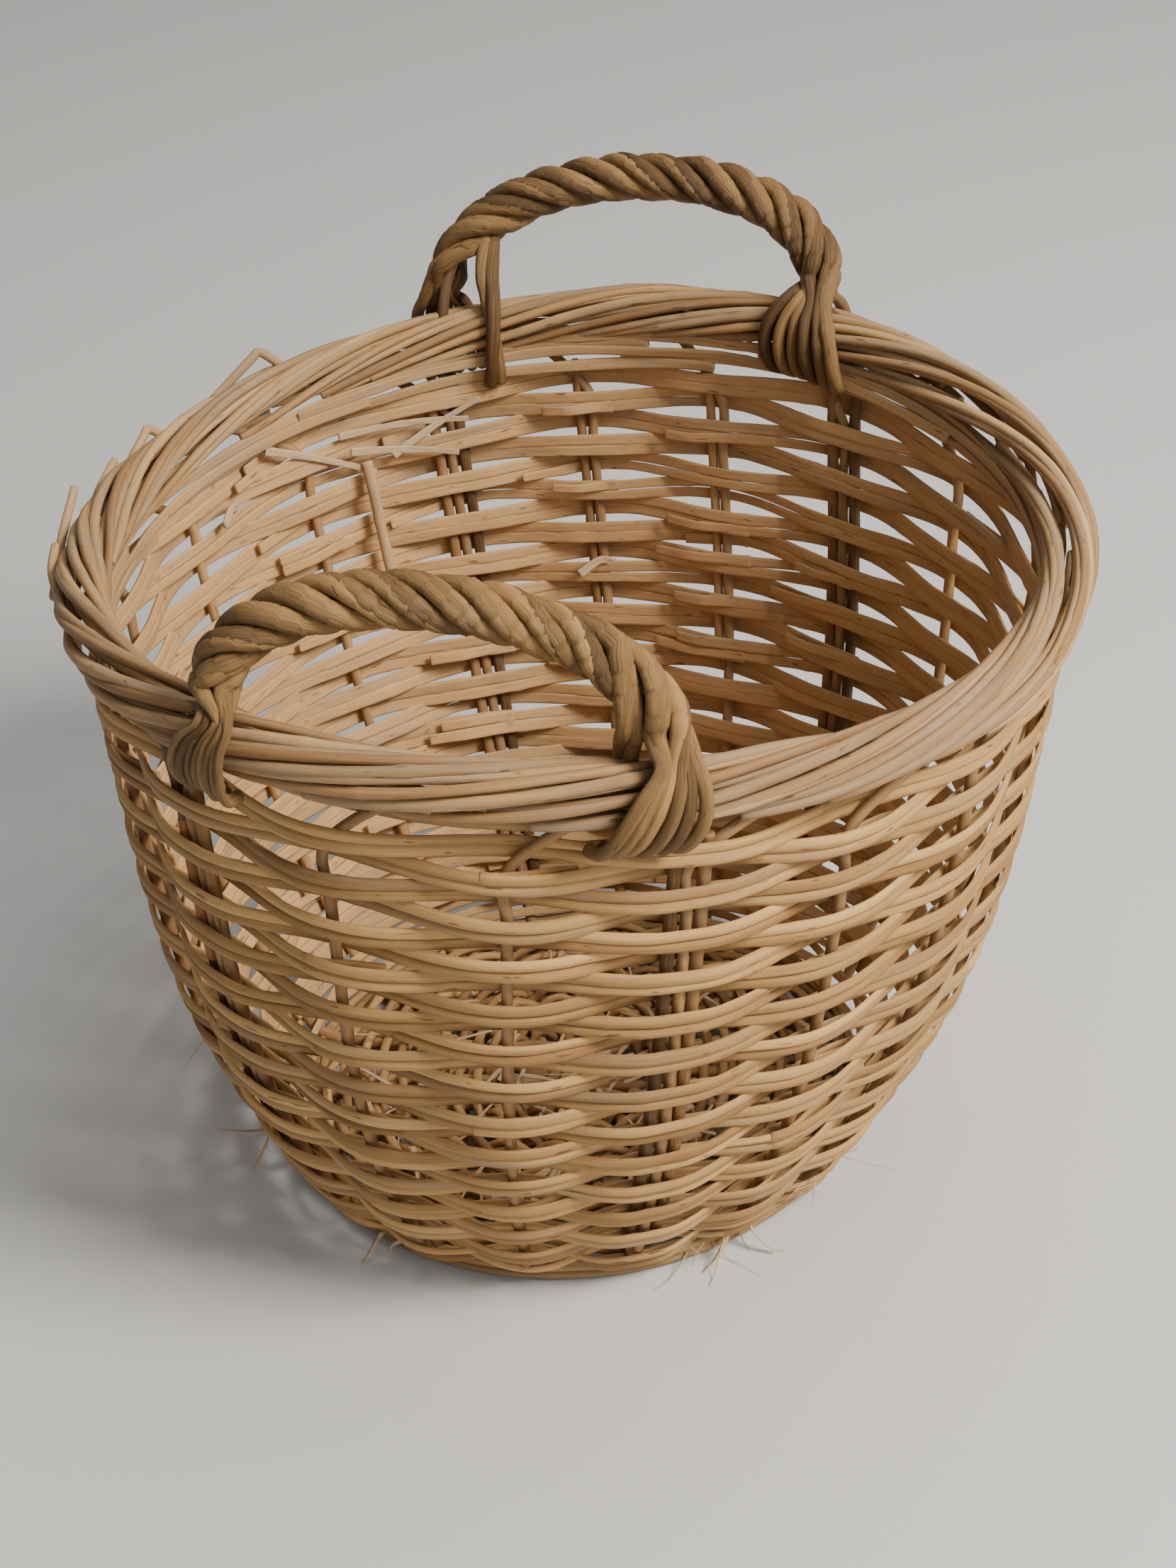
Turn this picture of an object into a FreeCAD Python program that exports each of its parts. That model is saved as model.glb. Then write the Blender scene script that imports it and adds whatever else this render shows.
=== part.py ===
"""Woven market basket of natural willow: stakes, weaving, rolled border, base and two rope handles.

Millimetres, +Z up. The basket stands on z = 0 with the middle of its outer box at x = y = 0.
The handles stand over the +Y and -Y sides. Every rod is a round tube along straight runs
joined by tangent arcs.
"""
import FreeCAD, Part
import math
import os
from FreeCAD import Vector

# ---- driving dimensions (mm and degrees) ----
RIM_RADIUS = 200.0          # middle of the border
RIM_HEIGHT = 293.0          # mean height of the middle of the border
FOOT_RADIUS = 122.0         # where the wall meets the base
WALL_FULLNESS = 0.22        # how much the wall swells above the foot
WALL_START = -0.087         # straight part of the flare
STAKES = 18
COURSES = 24
CLEARANCE = 0.3             # air left between neighbouring rods

STAKE_R = 2.3
WEAVER_R = 2.1
BYE_R = 2.5
BOW_R = 2.5
STRAND_R = 3.5
WALE_R = 1.9
BASE_STICK_R = 2.8
BASE_ROUND_R = 1.9
HOOP_R = 3.0

# hand-made unevenness: the rim is slightly out of round and dips at its two sides
OVAL = (0.022, -0.022)      # twice-round radius wave, share of the radius
TRIANGLE = (0.028, 0.031)   # three-times-round radius wave, share of the radius
RIM_DIP = (-11.0, 9.9)      # twice-round height wave of the rim
RIM_TILT = (-2.7, 1.1)      # once-round height wave of the rim
FOOT_SHIFT = (-10.1, -2.3)  # the foot stands off the middle of the rim
WALL_TWIST = -5.6           # turn of the foot against the rim, degrees
BOX_SHIFT = Vector(-4.3, -0.6, 0)  # brings the middle of the outer box to the origin

# weaving: levels are shares of the wall's height
TOP_COURSE = 0.905
COURSE_STEP = 0.0365
COURSE_CLOSING = 0.0000785  # the steps shorten towards the foot
WALE_LEVELS = (0.085, 0.067)
LEG_LEVELS = (0.12, 0.22, 0.32, 0.42, 0.52, 0.62, 0.72, 0.82, 0.89)  # points up a stake or a bow's leg
BYE_TOP = 0.93
DOUBLED_BOTTOM = 0.45
WEAVE_BEND = 16.0           # bend of a weaver round a stake
OUTER_CUT = 0.85            # an arc passes this far inside its corner
INNER_CUT = 0.4
END_GAP = 1.0               # between the two ends of a round
JOINTS = (0, 8, 16, 10, 0, 8)  # even stakes for the joints; the odd courses join one stake on

# border: each stake's top lies through five turning lanes
LANES = 5
LANE_STOPS = tuple(0.5 * stop for stop in range(10))  # stake spacings travelled in the border
BORDER_HALF_DEPTH = 9.6     # lane centres, in and out
BORDER_HALF_HEIGHT = 10.5   # lane centres, up and down

# base
BASE_LEVEL = 8.8
LOWER_STICKS = 5
UPPER_STICKS = 4
CROSS_HALF = 17.0           # the sticks run straight this far from the middle
FAN_RADIUS = 36.0           # the sticks have spread to even spokes here
STICK_END = 119.0
STICK_ASIDE = 76.0          # from here the stick lies beside its stake's butt
BUTT_START = 84.0
STICK_SIDE = -5.6
FIRST_ROUND = 58.6
ROUND_PITCH = 4.75
BASE_ROUNDS = 13
ROUND_RISE = 6.2            # a round's height over a stick, axis to axis
ROUND_BEND = 7.0
HOOP_RADIUS = 124.0
HOOP_SINK = 0.6             # depth of the worn flat under the hoop

# handles
FRONT_FEET = (240.0, 300.0)
BACK_FEET = (60.0, 120.0)
DOUBLED = (80.0, 100.0)     # stakes with a second thin stake beside their upper half
LEG_SIDE = -6.2             # bow leg beside its stake, along the wall
BYE_SIDE = 5.6              # bye rod on the stake's other side
BORDER_PASS = 0.6           # the leg threads the border this far outside its middle
ARCH_START = 14.0           # above the middle of the border
ARCH_RISE = 46.0
ARCH_STEPS = 12
FRONT_LEAN = 0.0
BACK_LEAN = 30.0            # the far handle leans outward
STRANDS = 4
ROPE_TURNS = 3.5
ROPE_STEPS = 12             # points to one turn of a strand
ROPE_GAP = 0.06             # bare arch at each end, as a share of the rope
TAIL_SPREAD = 5.4           # strand tails straddle the border
TAIL_OUT = 16.9
TAIL_TOP = 9.0
TAIL_DROP = 24.0

MAX_BEND = 45.0
SPACING = 360.0 / STAKES


# ---- paths and rods ----
def rounded_edges(points, bend, closed=False):
    """Straight runs between the points, joined by tangent arcs of up to the bend's radius."""
    count = len(points)
    edges = []
    last = None
    first = None
    for i in range(count):
        here = points[i]
        if not closed and i in (0, count - 1):
            start = end = here
            middle = None
        else:
            start, middle, end = corner_arc(points[i - 1], here, points[(i + 1) % count], bend)
        if last is not None:
            edges.append(Part.LineSegment(last, start).toShape())
        if middle is not None:
            edges.append(Part.Arc(start, middle, end).toShape())
        last = end
        if first is None:
            first = start
    if closed:
        edges.append(Part.LineSegment(last, first).toShape())
    return edges


def corner_arc(before, here, after, bend):
    """Ends and middle of the arc that rounds the corner at here."""
    back = before - here
    onward = after - here
    room = 0.45 * min(back.Length, onward.Length)
    back.normalize()
    onward.normalize()
    turn = math.pi - back.getAngle(onward)
    if turn < 0.002:
        return here, None, here
    radius = min(bend, room / math.tan(turn / 2))
    cut = radius * math.tan(turn / 2)
    inward = back + onward
    inward.normalize()
    centre = here + inward * (radius / math.cos(turn / 2))
    return here + back * cut, centre - inward * radius, here + onward * cut


def rod(points, radius, bend=MAX_BEND, closed=False):
    """A round rod along the rounded path through the points."""
    path = Part.Wire(rounded_edges([point + BOX_SHIFT for point in points], bend, closed))
    first = path.Edges[0]
    begin = first.FirstParameter
    section = Part.Wire([Part.makeCircle(radius, first.valueAt(begin), first.tangentAt(begin))])
    if closed:
        return Part.makeSolid(path.makePipe(section))
    return path.makePipe(Part.Face(section))


def write(name, solids):
    """One node, from one solid or from several separate ones."""
    shape = solids[0] if len(solids) == 1 else Part.makeCompound(solids)
    shape.exportStep("parts/" + name + ".step")


# ---- the wall's middle surface ----
def twice_round(angle, pair):
    return pair[0] * math.cos(2 * angle) + pair[1] * math.sin(2 * angle)


def wall_middle(degrees, level):
    """Level 0 is the foot and level 1 the middle of the border."""
    angle = math.radians(degrees + WALL_TWIST * (1 - level))
    flare = WALL_START * level + (1 - WALL_START) * (1 - (1 - level) ** 2)
    swell = WALL_FULLNESS * level * (1 - level) * (1 - 2 * level)
    radius = FOOT_RADIUS + (RIM_RADIUS - FOOT_RADIUS) * flare + RIM_RADIUS * swell
    wave = twice_round(angle, OVAL) + TRIANGLE[0] * math.cos(3 * angle) + TRIANGLE[1] * math.sin(3 * angle)
    radius *= 1 + (0.3 + 0.7 * level) * wave
    tilt = RIM_TILT[0] * math.cos(angle) + RIM_TILT[1] * math.sin(angle)
    height = RIM_HEIGHT * level + level ** 2 * (twice_round(angle, RIM_DIP) + tilt)
    return Vector(radius * math.cos(angle) + FOOT_SHIFT[0] * (1 - level),
                  radius * math.sin(angle) + FOOT_SHIFT[1] * (1 - level), height)


def wall(degrees, level, out=0.0, along=0.0, up=0.0):
    """Point off the wall's middle: outward, round the wall and up its slope."""
    upward = wall_middle(degrees, level + 0.01) - wall_middle(degrees, level - 0.01)
    sideways = wall_middle(degrees + 0.5, level) - wall_middle(degrees - 0.5, level)
    outward = sideways.cross(upward)
    for direction in (upward, sideways, outward):
        direction.normalize()
    return wall_middle(degrees, level) + outward * out + sideways * along + upward * up


def base_point(degrees, radius, height, along=0.0):
    """Point of the base, on a spoke from the middle of the foot."""
    angle = math.radians(degrees + WALL_TWIST)
    return Vector(radius * math.cos(angle) - along * math.sin(angle) + FOOT_SHIFT[0],
                  radius * math.sin(angle) + along * math.cos(angle) + FOOT_SHIFT[1], height)


# ---- stakes and border ----
def lane_point(degrees, turned):
    """Centre of the border lane that a stake has reached after so many spacings."""
    lane = math.radians(-90.0 + turned * 360.0 / LANES)
    across = BORDER_HALF_DEPTH * math.cos(lane)
    return wall(degrees, 1.0, across, 0.0, BORDER_HALF_HEIGHT * math.sin(lane))


def stake(degrees):
    """Butt beside a base stick, up the wall, then sideways into the border."""
    points = [base_point(degrees, BUTT_START, BASE_LEVEL), wall(degrees, BASE_LEVEL / RIM_HEIGHT)]
    points += [wall(degrees, level) for level in LEG_LEVELS]
    points += [lane_point(degrees + SPACING * turned, turned) for turned in LANE_STOPS]
    return rod(points, STAKE_R)


# ---- weaving ----
def cluster(degrees):
    """Reach to each side, and thickest radius, of the rods that stand at a stake."""
    if degrees in FRONT_FEET + BACK_FEET:
        return (LEG_SIDE, BYE_SIDE), BOW_R
    if degrees in DOUBLED:
        return (0.0, BYE_SIDE), BYE_R
    return (0.0,), STAKE_R


def weave_round(level, first_side, radius, joint, up=0.0):
    """One round, outside one stake and inside the next; its ends meet at the joint's stake."""
    points = []
    for k in range(joint, joint + STAKES + 1):
        degrees = k * SPACING
        reach, thickest = cluster(degrees % 360.0)
        side = first_side if k % 2 == 0 else -first_side
        out = side * (thickest + radius + CLEARANCE + (OUTER_CUT if side > 0 else INNER_CUT))
        if k == joint:
            reach = (END_GAP / 2,) + reach[1:]
        elif k == joint + STAKES:
            reach = (-END_GAP / 2,) if len(reach) == 1 else (reach[0],)
        points += [wall(degrees, level, out, along, up) for along in reach]
        points.append(wall(degrees + SPACING / 2, level, 0.0, 0.0, up))
    return rod(points[:-1], radius, WEAVE_BEND)


def joint_stake(number):
    """A plain stake that the round passes inside, further round on each course."""
    return JOINTS[number // 2 % len(JOINTS)] + (0 if number % 2 else 1)


def course(number):
    """A pair of rods, one above the other, that weave as one."""
    done = number - 1
    level = TOP_COURSE - COURSE_STEP * done + COURSE_CLOSING * done ** 2
    side = 1 if number % 2 == 0 else -1
    rise = WEAVER_R + CLEARANCE / 2
    return [weave_round(level, side, WEAVER_R, joint_stake(number), up) for up in (-rise, rise)]


def upright(degrees, along, radius, lowest):
    """A short rod pushed down beside a stake."""
    levels = [level for level in LEG_LEVELS if level > lowest]
    return rod([wall(degrees, level, 0.0, along) for level in [lowest] + levels + [BYE_TOP]], radius)


# ---- base ----
def stick_aside(radius):
    """How far a stick has moved to the side of its spoke, to lie beside the stake's butt."""
    share = (radius - FAN_RADIUS) / (STICK_ASIDE - FAN_RADIUS)
    return STICK_SIDE * min(1.0, max(0.0, share))


def base_stick(facing, offset, turn, level):
    """A stick straight through the cross, fanned out at both ends."""
    points = []
    for heading, sign in ((facing + 180.0, -1), (facing, 1)):
        half = [base_point(heading, CROSS_HALF, level, sign * offset)]
        for radius in (FAN_RADIUS, STICK_ASIDE, STICK_END):
            half.append(base_point(heading + sign * turn, radius, BASE_LEVEL, stick_aside(radius)))
        points += half if sign > 0 else list(reversed(half))
    return rod(points, BASE_STICK_R)


def base_sticks(facing, count, level):
    places = [place - (count - 1) / 2 for place in range(count)]
    pitch = 2 * BASE_STICK_R + CLEARANCE
    return [base_stick(facing, place * pitch, place * SPACING, level) for place in places]


def base_round(number):
    """A closed round over one spoke and under the next."""
    radius = FIRST_ROUND + number * ROUND_PITCH
    reach = (stick_aside(radius),)
    if radius > BUTT_START - ROUND_PITCH:
        reach += (0.0,)
    side = 1 if number % 2 == 0 else -1
    points = []
    for k in range(STAKES):
        level = BASE_LEVEL + side * ROUND_RISE
        points += [base_point(k * SPACING, radius, level, along) for along in reach]
        side = -side
    return rod(points, BASE_ROUND_R, ROUND_BEND, closed=True)


def foot_hoop():
    """The ring the basket stands on, with its underside worn flat."""
    middle = base_point(0.0, 0.0, HOOP_R - HOOP_SINK) + BOX_SHIFT
    hoop = Part.makeTorus(HOOP_RADIUS, HOOP_R, middle)
    size = 2 * (HOOP_RADIUS + 2 * HOOP_R)
    worn = Part.makeBox(size, size, HOOP_R, middle + Vector(-size / 2, -size / 2, -2 * HOOP_R + HOOP_SINK))
    return hoop.cut(worn)


# ---- handles ----
def arch_points(feet, lean):
    """Half an ellipse from foot to foot, leaning off the chord by lean."""
    start, end = [wall(degrees, 1.0, BORDER_PASS, LEG_SIDE, ARCH_START) for degrees in feet]
    points = []
    for step in range(ARCH_STEPS + 1):
        angle = math.pi * step / ARCH_STEPS
        share = (1 - math.cos(angle)) / 2
        offset = Vector(0, lean * math.sin(angle), ARCH_RISE * math.sin(angle))
        points.append(start + (end - start) * share + offset)
    return points


def leg_points(degrees):
    points = [wall(degrees, level, 0.0, LEG_SIDE) for level in LEG_LEVELS]
    return points + [wall(degrees, 1.0, BORDER_PASS, LEG_SIDE)]


def bow(feet, lean):
    """The bent rod inside a handle, its legs pushed down the wall."""
    first, last = [leg_points(degrees) for degrees in feet]
    return rod(first + arch_points(feet, lean) + list(reversed(last)), BOW_R)


def tail_points(degrees, offset):
    """A strand's end, laid over the border and down one face of the wall."""
    foot = wall(degrees, 1.0, 0.0, LEG_SIDE)
    outward = wall(degrees, 1.0, 1.0, LEG_SIDE) - foot
    sideways = wall(degrees, 1.0, 0.0, LEG_SIDE + 1.0) - foot
    place = foot + outward * math.copysign(TAIL_OUT, offset.dot(outward))
    place += sideways * math.copysign(TAIL_SPREAD, offset.dot(sideways))
    return [place + Vector(0, 0, -TAIL_DROP), place + Vector(0, 0, TAIL_TOP)]


def strand(feet, lean, number):
    """One of the rope's rods, wound round the bow."""
    arch = Part.Wire(rounded_edges(arch_points(feet, lean), MAX_BEND))
    steps = round(ROPE_TURNS * ROPE_STEPS)
    spare = round(steps * ROPE_GAP)
    line = arch.discretize(Number=steps + 2 * spare + 1)
    flank = (line[len(line) // 2] - line[0]).cross(line[-1] - line[0])
    flank.normalize()
    reach = (BOW_R + STRAND_R + CLEARANCE) / math.cos(math.pi / ROPE_STEPS)
    offsets = []
    for step in range(steps + 1):
        run = line[step + spare + 1] - line[step + spare - 1]
        run.normalize()
        angle = 2 * math.pi * (step / ROPE_STEPS + (number + 0.5) / STRANDS)
        offsets.append((flank.cross(run) * math.cos(angle) + flank * math.sin(angle)) * reach)
    winding = [line[step + spare] + offset for step, offset in enumerate(offsets)]
    start = tail_points(feet[0], offsets[0])
    end = tail_points(feet[1], offsets[-1])
    return rod(start + winding + list(reversed(end)), STRAND_R)


# ---- the nodes ----
def main():
    os.makedirs("parts", exist_ok=True)
    for k in range(STAKES):
        write("stake_%02d" % (k + 1), [stake(k * SPACING)])
    for number in range(1, COURSES + 1):
        write("weaver_%02d" % number, course(number))
    wales = [weave_round(level, 1 - 2 * (i % 2), WALE_R, joint_stake(i)) for i, level in enumerate(WALE_LEVELS)]
    write("foot_wale", wales)
    write("foot_hoop", [foot_hoop()])
    half_cross = BASE_STICK_R + CLEARANCE / 2
    write("base_sticks_lower", base_sticks(0.0, LOWER_STICKS, BASE_LEVEL - half_cross))
    write("base_sticks_upper", base_sticks(90.0, UPPER_STICKS, BASE_LEVEL + half_cross))
    write("base_rounds", [base_round(number) for number in range(BASE_ROUNDS)])
    write("bye_rods", [upright(degrees, BYE_SIDE, BYE_R, LEG_LEVELS[0]) for degrees in FRONT_FEET + BACK_FEET])
    write("doubled_stakes", [upright(degrees, BYE_SIDE, STAKE_R, DOUBLED_BOTTOM) for degrees in DOUBLED])
    for name, feet, lean in (("front", FRONT_FEET, FRONT_LEAN), ("back", BACK_FEET, BACK_LEAN)):
        write("handle_%s_bow" % name, [bow(feet, lean)])
        for number in range(STRANDS):
            write("handle_%s_strand_%d" % (name, number + 1), [strand(feet, lean, number)])


main()
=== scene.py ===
"""Looks of the woven willow market basket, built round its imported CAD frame.

Lengths are millimetres until a mesh is made, which is in metres. Angles round the basket are degrees:
0 is +X and 90 is +Y. Levels go up the wall: 0 is the foot and 1 the middle of the border.
"""
import math

import bpy
import numpy as np
from mathutils import Matrix, Vector


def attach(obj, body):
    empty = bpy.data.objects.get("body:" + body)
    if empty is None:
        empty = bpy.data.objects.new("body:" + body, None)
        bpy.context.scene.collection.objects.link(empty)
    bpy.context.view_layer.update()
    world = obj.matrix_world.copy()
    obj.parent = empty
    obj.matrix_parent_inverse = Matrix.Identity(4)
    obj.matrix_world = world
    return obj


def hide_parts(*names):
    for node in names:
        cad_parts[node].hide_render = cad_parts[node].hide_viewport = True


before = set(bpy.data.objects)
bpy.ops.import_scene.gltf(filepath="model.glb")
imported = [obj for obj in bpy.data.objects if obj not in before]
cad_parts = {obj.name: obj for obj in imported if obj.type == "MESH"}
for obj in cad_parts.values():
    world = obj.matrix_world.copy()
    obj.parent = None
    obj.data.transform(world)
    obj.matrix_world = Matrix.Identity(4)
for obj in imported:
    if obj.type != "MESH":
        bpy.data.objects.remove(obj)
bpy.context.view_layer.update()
MM = 0.001

# ---- the basket's driving dimensions, with the same values as in the CAD model ----
RIM_RADIUS = 200.0
RIM_HEIGHT = 293.0
FOOT_RADIUS = 122.0
WALL_FULLNESS = 0.22
WALL_START = -0.087
OVAL = (0.022, -0.022)
TRIANGLE = (0.028, 0.031)
RIM_DIP = (-11.0, 9.9)
RIM_TILT = (-2.7, 1.1)
FOOT_SHIFT = (-10.1, -2.3)
WALL_TWIST = -5.6
BOX_SHIFT = np.array([-4.3, -0.6, 0.0])
STAKES = 18
SPACING = 360.0 / STAKES
COURSES = 24
TOP_COURSE = 0.905
COURSE_STEP = 0.0365
COURSE_CLOSING = 0.0000785
LANES = 5
BORDER_DEPTH = 9.6
BORDER_HEIGHT = 10.5
FRONT_FEET = (240.0, 300.0)
BACK_FEET = (60.0, 120.0)
DOUBLED = (80.0, 100.0)
LEG_SIDE = -6.2
BYE_SIDE = 5.6
BASE_LEVEL = 8.8
BORDER_PASS = 0.6
ARCH_START = 14.0
BACK_LEAN = 30.0

# ---- wall and border rods ----
STEP = 2.5                  # between mesh stations along a rod
STAKE_R = 2.5
BYE_SIZE = 5.3              # of the rods beside the stakes at the handle feet
SECOND_STAKE_SIZE = 4.4     # of the rods beside the doubled stakes
SPLIT_HEIGHT = 5.8          # a split rod's width up the wall
SPLIT_DEPTH = 3.7           # and its thickness through the wall
FOOT_SWELL = 0.08           # the rods near the foot are this much wider
PAIR_LAP = 0.7              # a pair's rods are pressed together
ROD_AIR = 0.25              # between a stake and the rod that passes it
FOOT_CLUSTER_R = 2.9        # the thickest rod at a handle foot
JOINTS = 2                  # in each split rod's round
LAP = (6.0, 12.0)           # least and most degrees that a joint's two ends lap
LANE_STEP = 0.12            # between a border lane's points, in stake spacings
# the border's other rods beside each stake: where they start round the lane, share of its size, thickness
COMPANIONS = ((-54.0, 1.0, 5.4), (-72.0, 0.92, 4.8), (-30.0, 0.62, 5.2))
LOOSE_TIPS = 0.3            # share of them whose tips stand off
LOOSE_STATIONS = 14         # length of such a tip, in mesh stations
BUTT_RADII = (84.0, 104.0)  # where a stake's butt lies in the base
FOOT_LEVELS = (0.088, 0.072, 0.056, 0.041)  # of the tight rounds at the foot

# ---- base ----
STICK_GAP = 5.9             # between the middles of two base sticks in the cross
CROSS_DROP = 3.0            # the lower sticks' middles under the base's level, and the upper ones' over it
CROSS_RADII = (8.0, 17.0)   # a base stick's points in the cross
# and its points where it has spread: their radius, and how far it lies beside its stake's butt
SPOKE = ((38.0, 0.0), (76.0, -5.4), (119.0, -5.6))
FIRST_ROUND = 33.0
LAST_ROUND = 118.0
ROUND_STEP = 4.35
ROUND_WAVE = 5.2            # a base round goes this far over and under the sticks
HOOP_RADIUS = 124.0
OUTER_HOOPS = ((127.6, 3.6), (128.2, 7.9))  # radius and height of the rods round the hoop

# ---- ropes; these arches are fuller than the CAD model's ----
ARCH_RISE = 50.0
ARCH_SHOULDER = 0.82        # under 1 makes the arch's shoulders squarer than an ellipse
FRONT_LEAN = 10.0
BOW_SIZE = 5.4
STRANDS = 4
STRAND_RODS = 2
STRAND_ROD_R = 4.6
WOUND_SIZE = 0.84           # a rod pressed into the rope is this share of its loose size
FOOT_ROD_R = 3.0            # the same rod's radius where it crosses the border, at most
FOOT_ROD_SHARE = 0.47       # and its radius as a share of the space between two of them
FOOT_LENGTH = 46.0          # of the thin end
FOOT_FADE = 26.0            # and of the stretch over which it gets thick
ROPE_R = 7.0                # middle of a strand off the middle of the rope
ROPE_TURNS = 3.0
ROPE_MARGIN = 0.05          # share of the arch at each end that isn't wound
EARLY_MARGIN = 0.15         # further share that the rods that leave early don't follow
EARLY_OFF = 2.3             # two rods that leave the rope early, off the middle between them
STRAND_SPLAY = 0.14         # half the angle between a strand's two rods
INNER_SLOT = 7.0            # between the rod ends that go down inside the border
INNER_ENTRY = 2.0           # and how far they all stand along from the rope's foot
# a rope's foot stands this far along the border from its leg, which is at this many degrees
HANDLE_INSET = {240.0: 38.0, 300.0: -6.0, 60.0: 18.0, 120.0: -2.0}
# outward from the border's middle, share of its slot and height of a rod end, from the rope to its tip
FOOT_ROUTE = ((7.5, 0.5, 17.5), (14.0, 0.8, 10.5), (16.6, 1.0, 1.0), (15.6, 1.05, -8.0), (11.5, 1.0, -15.5),
              (4.5, 0.9, -19.0))
# inward from the border's middle and height of the rods that leave early
EARLY_ROUTE = ((7.0, 28.0), (11.0, 17.0), (14.0, 6.0), (15.0, -5.0), (13.5, -16.0), (9.0, -25.0))
EARLY_START = -3.0          # along the border from their place, at the top
EARLY_SLANT = 0.9           # and how much further along at each point down

# ---- every rod ----
KNOT_LENGTH = 2.6
END_SHARE = 0.14            # a rod's end is drawn in by this share of its size
END_OUT = 0.5               # and stands out this far

# ---- wear ----
HEAPS = 4                   # of shreds in the bottom
HEAP_SHREDS = 34
HEAP_RADIUS = 105.0

BLACK = (0, 0, 0, 1)
WHITE = (1, 1, 1, 1)


# ---- small helpers ----
def unit(vectors):
    return vectors / np.linalg.norm(vectors, axis=-1, keepdims=True)


def wander(places, scale, rng, octaves=3):
    """A smooth random line about zero, with features of about this length."""
    total = np.zeros_like(places, dtype=float)
    for octave in range(octaves):
        length = scale * rng.uniform(1.4, 2.6) / 2 ** octave
        total += np.sin(2 * math.pi * (places / length + rng.random())) / 1.6 ** octave
    return total / 2.0


def smooth_path(points, step=STEP):
    """A Catmull-Rom line through the points, with even stations."""
    points = np.asarray(points, float)
    before = np.vstack([2 * points[0] - points[1], points, 2 * points[-1] - points[-2]])
    pieces = []
    share = np.linspace(0, 1, 12, endpoint=False)[:, None]
    for i in range(len(points) - 1):
        a, b, c, d = before[i:i + 4]
        pieces.append(0.5 * (2 * b + (c - a) * share + (2 * a - 5 * b + 4 * c - d) * share ** 2
                             + (3 * b - a - 3 * c + d) * share ** 3))
    line = np.vstack(pieces + [points[-1:]])
    return even(line, step)


def even(line, step=STEP):
    """The same line with even stations."""
    length = measure(line)
    count = max(4, int(round(length[-1] / step)) + 1)
    stations = np.linspace(0, length[-1], count)
    return np.stack([np.interp(stations, length, line[:, axis]) for axis in range(3)], axis=1)


def measure(line):
    """Each point's distance along the line."""
    return np.concatenate([[0], np.cumsum(np.linalg.norm(np.diff(line, axis=0), axis=1))])


# ---- the wall's middle surface ----
def wall_middle(degrees, level):
    """A point of the wall's middle: round it in degrees, and up it from 0 at the foot to 1 at the border."""
    degrees, level = np.broadcast_arrays(np.asarray(degrees, float), np.asarray(level, float))
    angle = np.radians(degrees + WALL_TWIST * (1 - level))
    flare = WALL_START * level + (1 - WALL_START) * (1 - (1 - level) ** 2)
    swell = WALL_FULLNESS * level * (1 - level) * (1 - 2 * level)
    radius = FOOT_RADIUS + (RIM_RADIUS - FOOT_RADIUS) * flare + RIM_RADIUS * swell
    wave = OVAL[0] * np.cos(2 * angle) + OVAL[1] * np.sin(2 * angle)
    wave = wave + TRIANGLE[0] * np.cos(3 * angle) + TRIANGLE[1] * np.sin(3 * angle)
    radius = radius * (1 + (0.3 + 0.7 * level) * wave)
    dip = RIM_DIP[0] * np.cos(2 * angle) + RIM_DIP[1] * np.sin(2 * angle)
    dip = dip + RIM_TILT[0] * np.cos(angle) + RIM_TILT[1] * np.sin(angle)
    height = RIM_HEIGHT * level + level ** 2 * dip
    return np.stack([radius * np.cos(angle) + FOOT_SHIFT[0] * (1 - level),
                     radius * np.sin(angle) + FOOT_SHIFT[1] * (1 - level), height], axis=-1)


def wall_axes(degrees, level):
    """Outward, sideways and upward directions of the wall."""
    degrees, level = np.asarray(degrees), np.asarray(level)
    upward = unit(wall_middle(degrees, level + 0.01) - wall_middle(degrees, level - 0.01))
    sideways = unit(wall_middle(degrees + 0.5, level) - wall_middle(degrees - 0.5, level))
    return unit(np.cross(sideways, upward)), sideways, upward


def wall(degrees, level, out=0.0, along=0.0, up=0.0):
    """A point off the wall's middle by these distances."""
    outward, sideways, upward = wall_axes(degrees, level)
    out, along, up = [np.asarray(value, float)[..., None] for value in (out, along, up)]
    return wall_middle(degrees, level) + outward * out + sideways * along + upward * up


def base_point(degrees, radius, height, along=0.0):
    """A point of the flat base; it lies off the spoke at these degrees by the distance along."""
    angle = np.radians(np.asarray(degrees, float) + WALL_TWIST)
    return np.stack([radius * np.cos(angle) - along * np.sin(angle) + FOOT_SHIFT[0],
                     radius * np.sin(angle) + along * np.cos(angle) + FOOT_SHIFT[1],
                     height + 0 * angle], axis=-1)


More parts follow.
